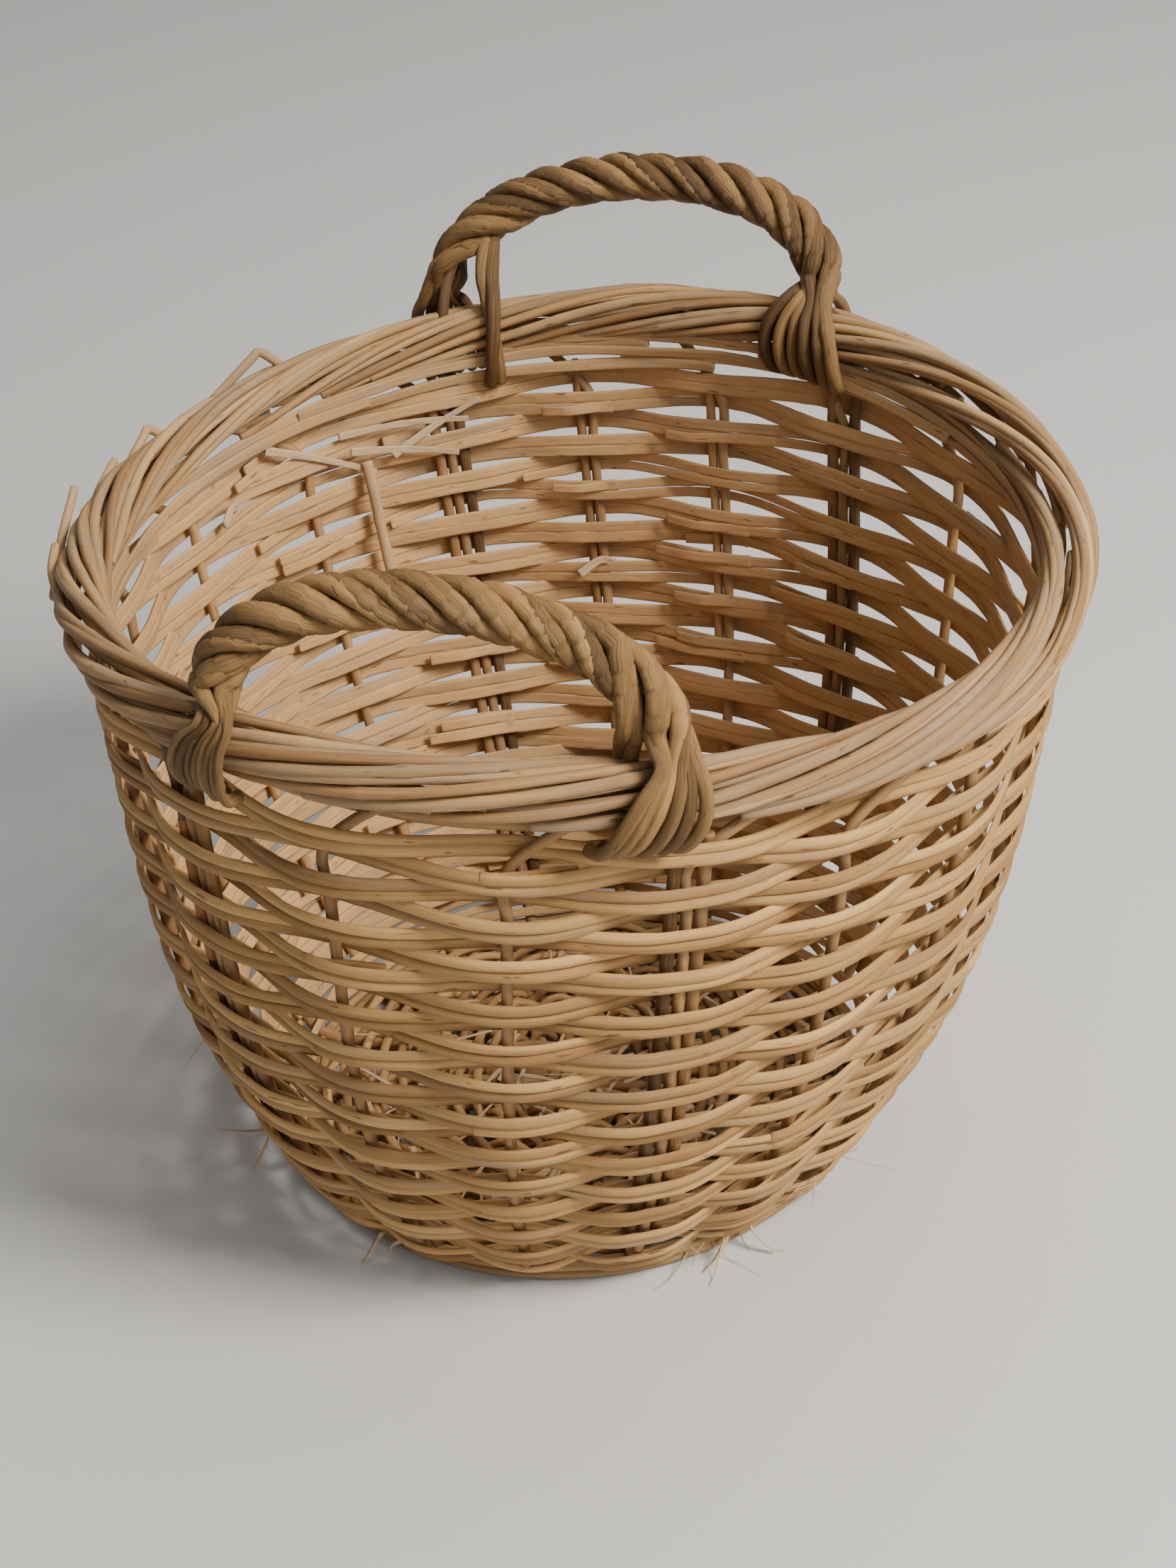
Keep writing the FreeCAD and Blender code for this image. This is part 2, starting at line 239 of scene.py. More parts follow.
# ---- mesh building ----
class Bundle:
    """Rods gathered into one mesh. Each point carries its place in its rod, for the grain, and its tone."""

    def __init__(self):
        self.points, self.faces, self.grain, self.tone = [], [], [], []
        self.count = 0

    def add(self, points, faces, grain, tone):
        self.points.append(points)
        self.faces += [tuple(index + self.count for index in face) for face in faces]
        self.grain.append(grain)
        self.tone.append(tone)
        self.count += len(points)

    def make(self, name, material, slot, stands_for=()):
        """One Blender piece of all the rods, in metres."""
        points = (np.vstack(self.points) + BOX_SHIFT) * MM
        mesh = bpy.data.meshes.new(name)
        mesh.from_pydata(points.tolist(), [], self.faces)
        grain = mesh.attributes.new("grain", "FLOAT_VECTOR", "POINT")
        grain.data.foreach_set("vector", np.vstack(self.grain).astype(np.float32).ravel())
        tone = mesh.attributes.new("tone", "FLOAT_COLOR", "POINT")
        tone.data.foreach_set("color", np.vstack(self.tone).astype(np.float32).ravel())
        mesh.polygons.foreach_set("use_smooth", np.ones(len(mesh.polygons), dtype=bool))
        mesh.materials.append(material)
        mesh.update()
        piece = bpy.data.objects.new(name, mesh)
        bpy.context.collection.objects.link(piece)
        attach(piece, "root")
        if stands_for:
            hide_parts(*stands_for)
        return piece


def round_section(count=12):
    """A ring's outward and sideways places, in half sizes of the rod, and which of them are cleft face."""
    angle = np.linspace(0, 2 * math.pi, count, endpoint=False)
    return np.cos(angle), np.sin(angle), np.zeros(count)


def split_section():
    """Half a rod: a round back outward, and a flat cleft face inward."""
    angle = np.radians(np.linspace(-88, 88, 9))
    face = np.array([0.86, 0.5, 0.12, -0.3, -0.68, -0.9])
    face_depth = np.array([-0.5, -0.58, -0.5, -0.6, -0.54, -0.48])
    depth = np.concatenate([1.15 * np.cos(angle) - 0.35, face_depth])
    height = np.concatenate([np.sin(angle), face])
    inner = np.concatenate([np.zeros(len(angle)), np.ones(len(face))])
    edges = [0, len(angle) - 1]
    inner[edges] = 0.35
    return depth, height, inner


def sweep(bundle, line, reference, width, thickness, rng, section=None, tone=(0.5, 0.0, 0.0),
          rough=0.05, taper=(1.0, 1.0), knots=90.0, twist=0.0, ragged=0.0):
    """A rod along the line; its thickness lies along the reference direction.

    The taper is the share of its size at its two ends, or at every station. Rough, knots, twist and ragged
    make it uneven. The tone is its paleness, its least share of cleft face, and its greyness.
    """
    depth, height, inner = section or round_section()
    count, ring = len(line), len(depth)
    places = measure(line)
    tangent = unit(np.gradient(line, axis=0))
    reference = np.broadcast_to(np.asarray(reference, float), line.shape)
    out = unit(reference - tangent * np.sum(reference * tangent, axis=1, keepdims=True))
    side = np.cross(tangent, out)
    if twist:
        turn = (twist * wander(places, 160.0, rng))[:, None]
        out, side = out * np.cos(turn) + side * np.sin(turn), side * np.cos(turn) - out * np.sin(turn)
    sizes = taper if len(taper) == count else np.linspace(taper[0], taper[1], count)
    size = sizes * (1 + rough * wander(places, 42.0, rng))
    for knot in np.arange(rng.uniform(0.1, 0.9) * knots, places[-1], knots):
        size = size + rng.uniform(0.03, 0.12) * np.exp(-((places - knot) / KNOT_LENGTH) ** 2)
    lumps = np.stack([1 + 0.5 * rough * wander(places, 26.0, rng) for _ in range(4)])
    uneven = lumps[np.arange(ring) * 4 // ring].T
    around = depth[None] * uneven * size[:, None]
    across = height[None] * uneven * size[:, None]
    if ragged:
        ridges = np.stack([wander(places, 9.0, rng) for _ in range(ring)]).T
        around = around + ragged * ridges * inner[None]
    points = line[:, None] + out[:, None] * around[..., None] * thickness / 2
    points = points + side[:, None] * across[..., None] * width / 2
    caps = [points[row] + (points[row].mean(axis=0) - points[row]) * END_SHARE - tangent[row] * sign * END_OUT
            for row, sign in ((0, 1), (-1, -1))]
    rings = np.concatenate([caps[0][None], points, caps[1][None]])
    rows = count + 2
    faces = []
    for row in range(rows - 1):
        first = row * ring
        for i in range(ring):
            j = (i + 1) % ring
            faces.append((first + i, first + j, first + ring + j, first + ring + i))
    faces.append(tuple(range(ring - 1, -1, -1)))
    faces.append(tuple((rows - 1) * ring + i for i in range(ring)))
    spread = np.concatenate([[places[0] - END_OUT], places, [places[-1] + END_OUT]])
    grain = np.zeros((rows, ring, 3))
    grain[..., 0] = spread[:, None] + rng.uniform(0, 4000)
    grain[..., 1] = depth[None] * 3 + rng.uniform(0, 50)
    grain[..., 2] = height[None] * 3
    tones = np.zeros((rows, ring, 4))
    paleness = tone[0] + rng.uniform(-0.34, 0.34) + 0.12 * wander(spread, 130.0, rng)[:, None]
    greyness = tone[2] + 0.25 * wander(spread, 90.0, rng)[:, None] * (tone[2] > 0)
    tones[..., 0] = np.clip(paleness, 0, 1)
    tones[..., 1] = np.maximum(inner[None], tone[1])
    tones[[0, -1], :, 1] = 1.0
    tones[..., 2] = np.clip(greyness, 0, 1)
    bundle.add(rings.reshape(-1, 3), faces, grain.reshape(-1, 3), tones.reshape(-1, 4))


# ---- materials ----
def darker(colour, share):
    return tuple(part * share for part in colour[:3]) + (1,)


def even_grey(value):
    return (value, value, value, 1)


def willow(name, dark, light, inner, grey, roughness=0.62, bump=0.35):
    """Peeled willow: long fibres, slow changes of colour, scars, a paler cleft face and grey weathering."""
    material = bpy.data.materials.new(name)
    material.use_nodes = True
    nodes, links = material.node_tree.nodes, material.node_tree.links
    nodes.clear()

    def node(kind, **settings):
        made = nodes.new(kind)
        for key, value in settings.items():
            if key in made.inputs:
                made.inputs[key].default_value = value
            else:
                setattr(made, key, value)
        return made

    def join(source, target):
        links.new(source, target)

    def stretched(scale):
        mapping = node("ShaderNodeMapping")
        mapping.inputs["Scale"].default_value = scale
        join(grain.outputs["Vector"], mapping.inputs["Vector"])
        return mapping.outputs["Vector"]

    def noise(scale, detail, rough=0.55):
        made = node("ShaderNodeTexNoise", Scale=1.0, Detail=detail, Roughness=rough)
        join(stretched(scale), made.inputs["Vector"])
        return made.outputs["Fac"]

    def ramp(source, stops):
        made = node("ShaderNodeValToRGB")
        band = made.color_ramp
        band.elements[0].position, band.elements[0].color = stops[0][0], stops[0][1]
        band.elements[1].position, band.elements[1].color = stops[-1][0], stops[-1][1]
        for place, colour in stops[1:-1]:
            band.elements.new(place).color = colour
        join(source, made.inputs["Fac"])
        return made.outputs["Color"]

    def mix(kind, amount, first, second):
        made = node("ShaderNodeMix", data_type="RGBA", blend_type=kind)
        used = [socket for socket in made.inputs if socket.enabled]
        for source, target in zip((amount, first, second), used):
            if isinstance(source, (float, tuple)):
                target.default_value = source
            else:
                join(source, target)
        return [socket for socket in made.outputs if socket.enabled][0]

    def sums(operation, first, second):
        made = node("ShaderNodeMath", operation=operation)
        for source, target in zip((first, second), made.inputs):
            if isinstance(source, float):
                target.default_value = source
            else:
                join(source, target)
        return made.outputs["Value"]

    grain = node("ShaderNodeAttribute", attribute_name="grain")
    tone = node("ShaderNodeAttribute", attribute_name="tone")
    parts = node("ShaderNodeSeparateColor")
    join(tone.outputs["Color"], parts.inputs["Color"])
    fibres = noise((0.018, 2.4, 2.4), 5.0, 0.62)
    fine = noise((0.06, 7.0, 7.0), 4.0, 0.6)
    slow = noise((0.012, 0.22, 0.22), 3.0)
    spots = noise((0.085, 0.42, 0.42), 2.0, 0.5)
    patches = noise((0.02, 0.25, 0.25), 2.0, 0.5)

    blend = sums("MULTIPLY", sums("ADD", fibres, parts.outputs["Red"]), 0.5)
    between = tuple(0.5 * (a + b) for a, b in zip(dark, light))
    body = ramp(blend, ((0.28, dark), (0.50, between), (0.72, light)))
    warm = ramp(slow, ((0.35, (0.80, 0.72, 0.62, 1)), (0.62, (1.12, 1.08, 1.02, 1))))
    body = mix("MULTIPLY", 0.85, body, warm)
    cleft = ramp(fibres, ((0.25, darker(inner, 0.62)), (0.7, inner)))
    body = mix("MIX", parts.outputs["Green"], body, cleft)
    ash = ramp(fibres, ((0.3, darker(grey, 0.6)), (0.75, grey)))
    weathered = ramp(patches, ((0.35, BLACK), (0.62, WHITE)))
    body = mix("MIX", sums("MULTIPLY", parts.outputs["Blue"], weathered), body, ash)
    lines = ramp(fine, ((0.30, (0.60, 0.52, 0.44, 1)), (0.48, WHITE)))
    body = mix("MULTIPLY", 0.6, body, lines)
    scars = ramp(spots, ((0.27, (0.30, 0.20, 0.13, 1)), (0.33, WHITE)))
    body = mix("MULTIPLY", 0.75, body, scars)
    shader = node("ShaderNodeBsdfPrincipled")
    shader.inputs["Specular IOR Level"].default_value = 0.32
    join(body, shader.inputs["Base Color"])
    gloss = ramp(fibres, ((0.3, even_grey(roughness - 0.1)), (0.7, even_grey(roughness + 0.16))))
    join(gloss, shader.inputs["Roughness"])
    relief = sums("ADD", sums("MULTIPLY", fibres, 0.8), sums("MULTIPLY", fine, 0.5))
    bumps = node("ShaderNodeBump", Strength=bump, Distance=0.0009)
    join(relief, bumps.inputs["Height"])
    join(bumps.outputs["Normal"], shader.inputs["Normal"])
    output = node("ShaderNodeOutputMaterial")
    join(shader.outputs["BSDF"], output.inputs["Surface"])
    return material


INNER = (0.63, 0.37, 0.16, 1)
GREY = (0.35, 0.245, 0.15, 1)
SPLIT = willow("split_willow", (0.26, 0.135, 0.045, 1), (0.60, 0.37, 0.145, 1), INNER, GREY)
STAKE = willow("stake_willow", (0.25, 0.13, 0.05, 1), (0.52, 0.31, 0.125, 1), INNER, GREY)
BORDER = willow("border_willow", (0.25, 0.145, 0.058, 1), (0.60, 0.375, 0.17, 1), INNER,
                (0.46, 0.31, 0.175, 1), roughness=0.66, bump=0.6)
HANDLE = willow("handle_willow", (0.095, 0.05, 0.017, 1), (0.45, 0.265, 0.10, 1), (0.52, 0.32, 0.14, 1),
                GREY, roughness=0.5, bump=0.95)
BASE = willow("base_willow", (0.24, 0.13, 0.05, 1), (0.52, 0.325, 0.135, 1), INNER, GREY)
SHRED = willow("shred_willow", (0.40, 0.25, 0.12, 1), (0.66, 0.47, 0.27, 1), (0.62, 0.44, 0.26, 1),
               GREY, roughness=0.75)
BARK = willow("bark_willow", (0.22, 0.075, 0.022, 1), (0.47, 0.20, 0.07, 1), (0.5, 0.3, 0.15, 1), GREY)


# ---- stakes and border ----
LEVELS = np.array([0.10, 0.2, 0.3, 0.4, 0.5, 0.6, 0.7, 0.8, 0.88])


def lane(degrees, turned, squeeze=1.0, start=-90.0):
    """A border lane's centre after so many stake spacings."""
    angle = np.radians(start + turned * 360.0 / LANES)
    return wall(degrees + SPACING * turned, 1.0, BORDER_DEPTH * squeeze * np.cos(angle), 0.0,
                BORDER_HEIGHT * squeeze * np.sin(angle))


def radial(line):
    """Directions away from the basket's axis, for turning a rod's section."""
    centre = np.array([FOOT_SHIFT[0] / 2, FOOT_SHIFT[1] / 2])
    away = np.zeros_like(line)
    away[:, :2] = line[:, :2] - centre
    return unit(away)


def border_run(degrees, rng, reach, start, squeeze):
    """Points of a border rod that runs on for so many stake spacings."""
    turned = np.arange(0.0, reach, LANE_STEP)
    loose = squeeze * (1 + 0.10 * wander(turned, 2.2, rng))
    return lane(degrees, turned, loose, start)


def upright(number):
    """A stake from its butt in the base to its tip in the border."""
    rng = np.random.default_rng(100 + number)
    degrees = number * SPACING
    bundle = Bundle()
    low = [base_point(degrees, radius, BASE_LEVEL) for radius in BUTT_RADII]
    low.append(wall(degrees, 0.036))
    climb = list(wall(degrees, LEVELS))
    run = border_run(degrees, rng, 4.4 + 0.3 * rng.random(), -90.0, 1.0)
    line = smooth_path(low + climb + list(run[3:]))
    sweep(bundle, line, radial(line), 2 * STAKE_R, 2 * STAKE_R, rng, taper=(1.08, 0.74), rough=0.06,
          tone=(0.42, 0.0, 0.35))
    return bundle.make("upright_%02d" % (number + 1), STAKE, "willow_stake", ["stake_%02d" % (number + 1)])


def border_rods(number):
    """The companions that fill the border beside each stake's top."""
    rng = np.random.default_rng(300 + number)
    degrees = number * SPACING
    bundle = Bundle()
    for start, squeeze, size in COMPANIONS:
        reach = rng.uniform(3.6, 4.8)
        run = border_run(degrees + rng.uniform(-6, 6), rng, reach, start + rng.uniform(-8, 8), squeeze)
        line = smooth_path(run)
        if rng.random() < LOOSE_TIPS:
            away = radial(line)[-1] * rng.uniform(2, 6) + np.array([0, 0, rng.uniform(-2, 5)])
            along = (np.arange(len(line)) - len(line) + LOOSE_STATIONS) / LOOSE_STATIONS
            fade = np.clip(along, 0, 1)[:, None] ** 2
            line = line + away * fade
        sweep(bundle, line, radial(line), size, size, rng, taper=(1.0, 0.72), rough=0.07,
              tone=(0.55, 0.0, 0.75))
    return bundle.make("border_rods_%02d" % (number + 1), BORDER, "willow_stake")


def border_packing():
    """Long rods tucked inside the border's lower edge, and the loops and ends that stand out of it."""
    rng = np.random.default_rng(400)
    bundle = Bundle()
    tucked = ((-6.5, -10.0), (-8.0, -14.5), (-6.0, -19.0))  # outward and up from the border's middle
    for row, (out, up) in enumerate(tucked):
        for quarter in range(4):
            start = 40.0 * row + 90.0 * quarter
            places = np.arange(start, start + rng.uniform(100, 140), 2.0)
            slant = np.linspace(-2.5, 2.5, len(places)) + 1.4 * wander(places, 60.0, rng)
            line = even(wall(places, 1.0, out + 1.0 * wander(places, 50.0, rng), 0.0, up + slant))
            sweep(bundle, line, radial(line), 6.2, 4.6, rng, section=split_section(), tone=(0.45, 0.0, 0.5),
                  rough=0.08, taper=(0.9, 0.7), twist=0.3)
    # place in degrees, length to both sides, and height
    loops = ((141.0, 16.0, 62.0, 20.0), (160.0, 14.0, 40.0, 15.0))
    for degrees, short, long, tip in loops:
        rise = [(-short, 2.0, -3.0), (-0.3 * short, 5.0, 0.7 * tip), (1.0, 6.0, tip), (5.0, 6.0, tip - 1.5),
                (0.5 * long, 7.0, 0.35 * tip), (long, 4.0, -5.0)]
        line = smooth_path([wall(degrees, 1.0, out, side, up) for side, out, up in rise], 1.5)
        sweep(bundle, line, radial(line), 4.8, 4.2, rng, tone=(0.6, 0.1, 0.6), rough=0.08, taper=(0.8, 1.0))
    # place in degrees, length and height
    cut_ends = ((177.0, 62.0, 16.0), (166.0, 40.0, 10.0), (190.0, 34.0, 9.0))
    for degrees, reach, tip in cut_ends:
        line = smooth_path([wall(degrees, 1.0, 8.0, reach, -8.0), wall(degrees, 1.0, 12.5, 0.5 * reach, 2.0),
                            wall(degrees, 1.0, 12.0, 0.0, tip)], 1.5)
        sweep(bundle, line, radial(line), 5.0, 4.4, rng, tone=(0.6, 0.1, 0.6), rough=0.08, taper=(1.0, 0.8))
    bundle.make("border_packing", BORDER, "willow_stake")


# ---- weaving ----
def cluster(degrees):
    """Reach to both sides and thickest radius of what stands at a stake."""
    if degrees in FRONT_FEET + BACK_FEET:
        return LEG_SIDE - 1.0, BYE_SIDE + 1.0, FOOT_CLUSTER_R
    if degrees in DOUBLED:
        return -1.0, BYE_SIDE, STAKE_R
    return -1.5, 1.5, STAKE_R


def weave_offset(places, level, first_side, depth, rng):
    """Distance off the wall along one round: out at one stake and in at the next."""
    radius = np.linalg.norm(wall_middle(0.0, level)[:2])
    knots, values = [], []
    for k in range(-2, 2 * STAKES + 3):
        degrees = k * SPACING
        left, right, thickest = cluster(degrees % 360.0)
        side = first_side if k % 2 == 0 else -first_side
        offset = side * (thickest + depth / 2 + ROD_AIR) * rng.uniform(0.95, 1.06)
        for reach in (left, right):
            knots.append(degrees + math.degrees(reach / radius))
            values.append(offset)
    knots, values = np.array(knots), np.array(values)
    index = np.clip(np.searchsorted(knots, places) - 1, 0, len(knots) - 2)
    share = np.clip((places - knots[index]) / (knots[index + 1] - knots[index]), 0, 1)
    ease = share * share * (3 - 2 * share)
    return values[index] * (1 - ease) + values[index + 1] * ease


def split_round(bundle, level, first_side, up, rng, tone, height=SPLIT_HEIGHT, depth=SPLIT_DEPTH):
    """One split rod round the basket in two lengths, whose ends lap inside the wall."""
    joints = np.sort(rng.choice(STAKES, JOINTS, replace=False)) * SPACING
    phases = np.random.default_rng(int(level * 1000)).uniform(0, 2 * math.pi, 3)
    for start, end in ((joints[0], joints[1]), (joints[1], joints[0] + 360.0)):
        lap = rng.uniform(*LAP)
        places = np.arange(start - lap * 0.4, end + lap, 0.75)
        offset = weave_offset(places, level, first_side, depth, rng)
        ending = np.clip((places - end + 2.0) / (lap * 0.7), 0, 1)
        offset = offset - ending * (depth + 0.4)
        drift = sum(np.sin(np.radians(places * turns) + phase) for turns, phase in zip((4, 7, 11), phases))
        lift = up + 0.45 * drift + 0.3 * wander(places, 40.0, rng) + 0.2 * wander(places, 14.0, rng)
        line = even(wall(places, level, offset, 0.0, lift))
        stations, shares = np.linspace(0, 1, len(line)), np.linspace(0, 1, len(places))
        columns = [np.interp(stations, shares, column) for column in wall_axes(places, level)[0].T]
        outward = unit(np.stack(columns, axis=1))
        sweep(bundle, line, outward, height, depth, rng, section=split_section(), tone=tone, rough=0.07,
              taper=(rng.uniform(0.95, 1.08), rng.uniform(0.78, 0.95)), twist=0.16, ragged=0.10)


def course(number):
    """A pair of split rods round the basket; courses count down from the border."""
    rng = np.random.default_rng(500 + number)
    done = number - 1
    level = TOP_COURSE - COURSE_STEP * done + COURSE_CLOSING * done ** 2
    bundle = Bundle()
    height = SPLIT_HEIGHT * (1 + FOOT_SWELL * done / COURSES)
    first_side = 1 if number % 2 == 0 else -1
    for up in (-0.5, 0.5):
        greyness = 0.35 if rng.random() < 0.25 else 0.0
        split_round(bundle, level, first_side, up * (height - PAIR_LAP), rng, (0.5, 0.0, greyness), height)
    return bundle.make("course_%02d" % number, SPLIT, "willow_split", ["weaver_%02d" % number])


def foot_rounds():
    """The tight rounds where the wall meets the base, and the rods that the basket stands on."""
    rng = np.random.default_rng(700)
    bundle = Bundle()
    for number, level in enumerate(FOOT_LEVELS):
        split_round(bundle, level, 1 - 2 * (number % 2), 0.0, rng, (0.45, 0.0, 0.2), 4.4, 3.6)
    bundle.make("foot_rounds", SPLIT, "willow_split", ["foot_wale"])
    hoop = Bundle()
    turn = np.arange(0.0, 362.0, 1.0)
    for phase in range(3):
        angle = np.radians(turn * 9 + phase * 120)
        line = base_point(turn + phase * 40, HOOP_RADIUS + 2.2 * np.cos(angle), 4.0 + 1.9 * np.sin(angle))
        sweep(hoop, even(line), (0, 0, 1), 4.0, 3.8, rng, tone=(0.4, 0.0, 0.3), rough=0.04)
    for radius, height in OUTER_HOOPS:
        line = even(base_point(turn + 25 * height, radius + 0.5 * wander(turn, 70.0, rng), height))
        sweep(hoop, line, (0, 0, 1), 4.2, 4.3, rng, tone=(0.45, 0.0, 0.3), rough=0.06)
    hoop.make("foot_hoop_rods", BASE, "willow_base", ["foot_hoop"])


# ---- base ----
def base():
    """The cross of base sticks, whose ends spread like spokes, and the rounds woven over and under them."""
    rng = np.random.default_rng(800)
    sticks = {"lower": Bundle(), "upper": Bundle()}
    for layer, facing, count, rise in (("lower", 0.0, 5, -CROSS_DROP), ("upper", 90.0, 4, CROSS_DROP)):
        for place in range(count):
            shift = place - (count - 1) / 2
            points = []
            for heading, sign in ((facing + 180.0, -1), (facing, 1)):
                turn = heading + sign * shift * SPACING
                half = [base_point(heading, radius, BASE_LEVEL + rise, sign * shift * STICK_GAP)
                        for radius in CROSS_RADII]
                half += [base_point(turn, radius, BASE_LEVEL, side) for radius, side in SPOKE]
                points += half if sign > 0 else half[::-1]
            line = smooth_path(points)
            sweep(sticks[layer], line, (0, 0, 1), 5.6, 5.4, rng, tone=(0.4, 0.0, 0.2), rough=0.06)
    sticks["lower"].make("base_cross_lower", BASE, "willow_base", ["base_sticks_lower"])
    sticks["upper"].make("base_cross_upper", BASE, "willow_base", ["base_sticks_upper"])
    rounds = Bundle()
    turn = np.arange(0.0, 364.0, 1.2)
    for number in range(math.ceil((LAST_ROUND - FIRST_ROUND) / ROUND_STEP)):
        radius = FIRST_ROUND + ROUND_STEP * number + 0.4 * wander(turn, 40.0, rng)
        places = turn + 55 * number
        side = 1 if number % 2 else -1
        height = BASE_LEVEL + side * ROUND_WAVE * np.cos(np.radians(places * STAKES / 2))
        line = base_point(places, radius, height)
        sweep(rounds, even(line), (0, 0, 1), 4.2, 3.6, rng, tone=(0.45, 0.0, 0.1), rough=0.06)
    rounds.make("base_weave", BASE, "willow_base", ["base_rounds"])


# ---- handles ----
def arch(feet, lean):
    """The middle line of a rope handle."""
    start, end = [wall(degrees, 1.0, BORDER_PASS, LEG_SIDE + HANDLE_INSET[degrees], ARCH_START)
                  for degrees in feet]
    angle = np.linspace(0, math.pi, 240)[:, None]
    rise = np.abs(np.sin(angle)) ** ARCH_SHOULDER
    line = start + (end - start) * (1 - np.cos(angle)) / 2 + rise * np.array([0, lean, ARCH_RISE])
    return even(line, 1.5)


def foot_run(degrees, slot, side, entry, drift, rng):
    """A rope rod's end: over the border, down its outer (1) or inner (-1) face, and tucked in under it."""
    entry = entry + rng.uniform(-1.5, 1.5)
    drift = drift + rng.uniform(-1.5, 1.5)
    lift = rng.uniform(-1.1, 1.1)
    points = []
    for step, (out, spread, up) in enumerate(FOOT_ROUTE):
        share = step / (len(FOOT_ROUTE) - 1)
        along = LEG_SIDE + HANDLE_INSET[degrees] + slot * spread + entry + (drift - entry) * share
        off = BORDER_PASS + side * (out + lift + rng.uniform(-0.3, 0.3))
        points.append(wall(degrees, 1.0, off, along, up))
    return points


def early_run(degrees, along, half):
    """One of two rope rods that leave the rope before its foot and drop inside the border, half turned."""
    points = []
    for step, (inward, up) in enumerate(EARLY_ROUTE):
        turn = math.pi * step / (len(EARLY_ROUTE) - 1)
        beside = LEG_SIDE + along + EARLY_START + EARLY_SLANT * step + half * EARLY_OFF * math.cos(turn)
        off = BORDER_PASS - inward + half * EARLY_OFF * math.sin(turn)
        points.append(wall(degrees, 1.0, off, beside, up))
    return points


def foot_sizes(line, first, last):
    """A rope rod's size along it: whole where it is wound, thinner where it crosses the border."""
    places = measure(line)
    stations = np.array((0.0, FOOT_LENGTH, FOOT_LENGTH + FOOT_FADE))
    stations = np.concatenate([stations, places[-1] - stations[::-1]])
    return np.interp(places, stations, (first, first, WOUND_SIZE, WOUND_SIZE, last, last))


def wound_rods(middle, flank, rng):
    """The rods where they wind round the middle line, and their directions off it at both ends."""
    tangent = unit(np.gradient(middle, axis=0))
    share = measure(middle) / measure(middle)[-1]
    first = int(ROPE_MARGIN * len(middle))
    rods, ends = [], []
    for strand in range(STRANDS):
        loose = 0.10 * wander(share * 100, 34.0, rng)
        swell = 0.5 * wander(share * 100, 25.0, rng)
        turns = ROPE_TURNS * (share - ROPE_MARGIN) / (1 - 2 * ROPE_MARGIN) + (strand + 0.5) / STRANDS
        for half in (-1, 1):
            angle = 2 * math.pi * turns + half * STRAND_SPLAY + loose + 0.03 * wander(share * 100, 20.0, rng)
            reach = (ROPE_R + swell + 0.2 * wander(share * 100, 18.0, rng))[:, None]
            across = np.cross(flank, tangent) * np.cos(angle)[:, None] + flank * np.sin(angle)[:, None]
            rods.append((middle + across * reach)[first:len(middle) - first])
            ends.append((across[first], across[-first - 1]))
    return rods, ends


def rope(name, feet, lean, entries, drifts, slots, early, inside, seed):
    """Four strands of two rods wound round the bow; their ends cross the border side by side.

    Each foot has its own outer entry and drift along the border, the space between two rods, where the rods
    that leave early stand (0 for none), and how many rods go inside.
    """
    rng = np.random.default_rng(seed)
    middle = arch(feet, lean)
    flank = unit(np.cross(middle[len(middle) // 2] - middle[0], middle[-1] - middle[0]))
    rods, ends = wound_rods(middle, flank, rng)
    radii = [[FOOT_ROD_R, FOOT_ROD_R] for _ in rods]
    spare = int(EARLY_MARGIN * len(middle))
    for end, degrees in enumerate(feet):
        outward, sideways, _ = wall_axes(degrees, 1.0)
        order = sorted(range(len(rods)), key=lambda i: float(ends[i][end] @ outward))
        outer = sorted(order[inside[end]:], key=lambda i: float(ends[i][end] @ sideways))
        inner = sorted(order[:inside[end]], key=lambda i: float(ends[i][end] @ sideways))
        for i in range(len(rods)):
            if i in outer:
                slot = (outer.index(i) - (len(outer) - 1) / 2) * slots[end]
                run = foot_run(degrees, slot, 1, entries[end], drifts[end], rng)
                radii[i][end] = min(FOOT_ROD_SHARE * slots[end], FOOT_ROD_R)
            elif early[end]:
                run = early_run(degrees, early[end], 1.0 - 2.0 * inner.index(i))
                rods[i] = rods[i][spare:] if end == 0 else rods[i][:-spare]
            else:
                slot = (inner.index(i) - (len(inner) - 1) / 2) * INNER_SLOT
                run = foot_run(degrees, slot, -1, INNER_ENTRY, INNER_ENTRY, rng)
            rods[i] = np.vstack([run[::-1], rods[i]]) if end == 0 else np.vstack([rods[i], run])
    for i, points in enumerate(rods):
        bundle = Bundle()
        line = smooth_path(thin(points), 2.0)
        nearest = np.argmin(np.linalg.norm(line[:, None] - middle[None, ::4], axis=2), axis=1) * 4
        first, last = [rng.uniform(0.92, 1.08) * radius / STRAND_ROD_R for radius in radii[i]]
        sweep(bundle, line, line - middle[nearest], 2 * STRAND_ROD_R, 2 * STRAND_ROD_R, rng,
              tone=(0.45, 0.0, 0.0), rough=0.07, taper=foot_sizes(line, first, last), knots=70.0)
        strand, rod = divmod(i, STRAND_RODS)
        node = ["handle_%s_strand_%d" % (name, strand + 1)] if rod == 0 else []
        bundle.make("%s_rope_rod_%d" % (name, i + 1), HANDLE, "willow_handle", node)


def thin(points):
    """Fewer points along the wound part, so that the foot's points count as much."""
    foot = len(FOOT_ROUTE)
    return np.vstack([points[:foot], points[foot:-foot:3], points[-foot:]])


